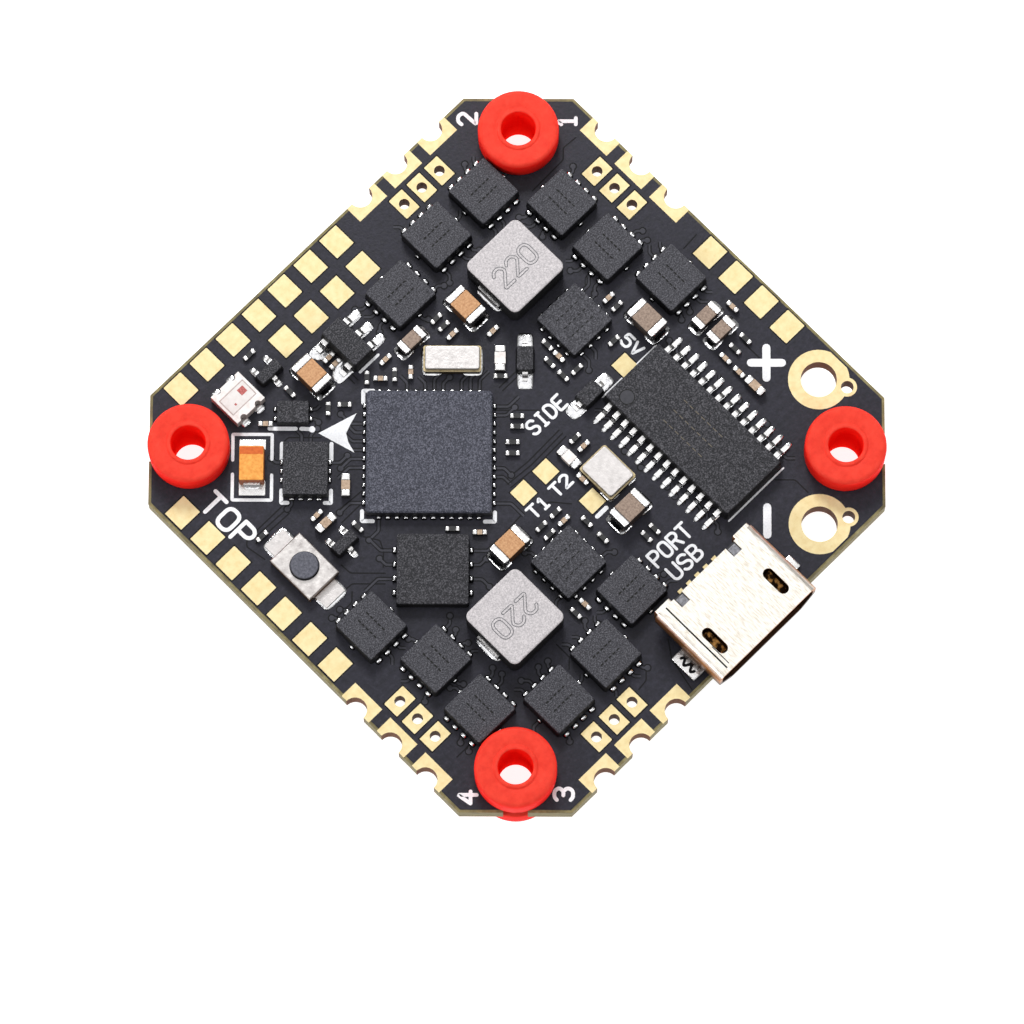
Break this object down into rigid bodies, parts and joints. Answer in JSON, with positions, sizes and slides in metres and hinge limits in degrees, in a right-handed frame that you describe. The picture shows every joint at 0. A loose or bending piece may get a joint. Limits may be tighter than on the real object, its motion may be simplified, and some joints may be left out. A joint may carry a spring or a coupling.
{
  "type": "flight controller board",
  "caption": "Square all-in-one flight controller board with soft-mounted corner holes, castellated motor pads, micro-USB socket and a boot button.",
  "frame": {"origin": "centre of the four grommet bores, half way through the board's thickness", "axes": "+Z out of the main component side, -Y out of the micro-USB mouth, X along the USB edge"},
  "size_m": [0.033, 0.0338, 0.0053],
  "materials": {
    "laminate": "satin edge of glass-epoxy laminate",
    "solder_mask": "satin black lacquer",
    "gold": "matt immersion gold",
    "tin": "bright tinned",
    "solder": "bright solder",
    "mould_compound": "matt black moulding compound",
    "silicone": "matt red silicone",
    "ferrite": "grey moulded alloy powder",
    "capacitor_ceramic": "brown ceramic",
    "resistor_black": "black glaze on ceramic",
    "crystal_tray": "gilded ceramic rim",
    "crystal_lid": "satin nickel lid",
    "led_housing": "white",
    "led_window": "clear resin",
    "tantalum_case": "orange moulded",
    "usb_steel": "pale gold-flashed steel",
    "black_nylon": "black nylon",
    "plunger": "dark grey"
  },
  "bodies": {
    "board": {"battery_pads": "gold", "board_core": "laminate", "buck_regulator_body": "mould_compound", "buck_regulator_terminals": "tin", "crystal_bases": "crystal_tray", "crystal_lids": "crystal_lid", "diode_body": "mould_compound", "diode_terminals": "tin", "esc_controller_body": "mould_compound", "esc_controller_terminals": "tin", "flash_body": "mould_compound", "flash_terminals": "tin", "gate_driver_body": "mould_compound", "gate_driver_terminals": "tin", "grommet_1": "silicone", "grommet_2": "silicone", "grommet_3": "silicone", "grommet_4": "silicone", "gyro_body": "mould_compound", "gyro_terminals": "tin", "inductor_body": "ferrite", "inductor_terminals": "tin", "large_capacitor_bodies": "capacitor_ceramic", "large_capacitor_ends": "tin", "ldo_body": "mould_compound", "ldo_terminals": "tin", "logic_chip_body": "mould_compound", "logic_chip_terminals": "tin", "mcu_body": "mould_compound", "mcu_terminals": "tin", "mosfet_body": "mould_compound", "mosfet_terminals": "tin", "motor_hole_pads": "gold", "motor_pads": "gold", "osd_chip_body": "mould_compound", "osd_chip_terminals": "tin", "resistor_bodies": "resistor_black", "rgb_led_body": "led_housing", "rgb_led_lens": "led_window", "rgb_led_terminals": "tin", "signal_pads": "gold", "small_capacitor_bodies": "capacitor_ceramic", "small_part_ends": "tin", "solder_lands": "solder", "solder_mask_bottom": "solder_mask", "solder_mask_top": "solder_mask", "status_led_bodies": "led_housing", "switch_base": "black_nylon", "switch_cover": "tin", "switch_dome": "tin", "switch_terminals": "tin", "tantalum_body": "tantalum_case", "tantalum_terminals": "tin", "transistor_body": "mould_compound", "transistor_terminals": "tin", "usb_contacts": "gold", "usb_insulator": "black_nylon", "usb_shell": "usb_steel"},
    "boot_button": {"switch_plunger": "plunger"}
  },
  "joints": [
    {"name": "boot_button_press", "type": "slide", "parent": "board", "child": "boot_button", "axis": [0, 0, -1], "range_m": [0, 0.0002], "stiffness_N_per_m": 800}
  ]
}
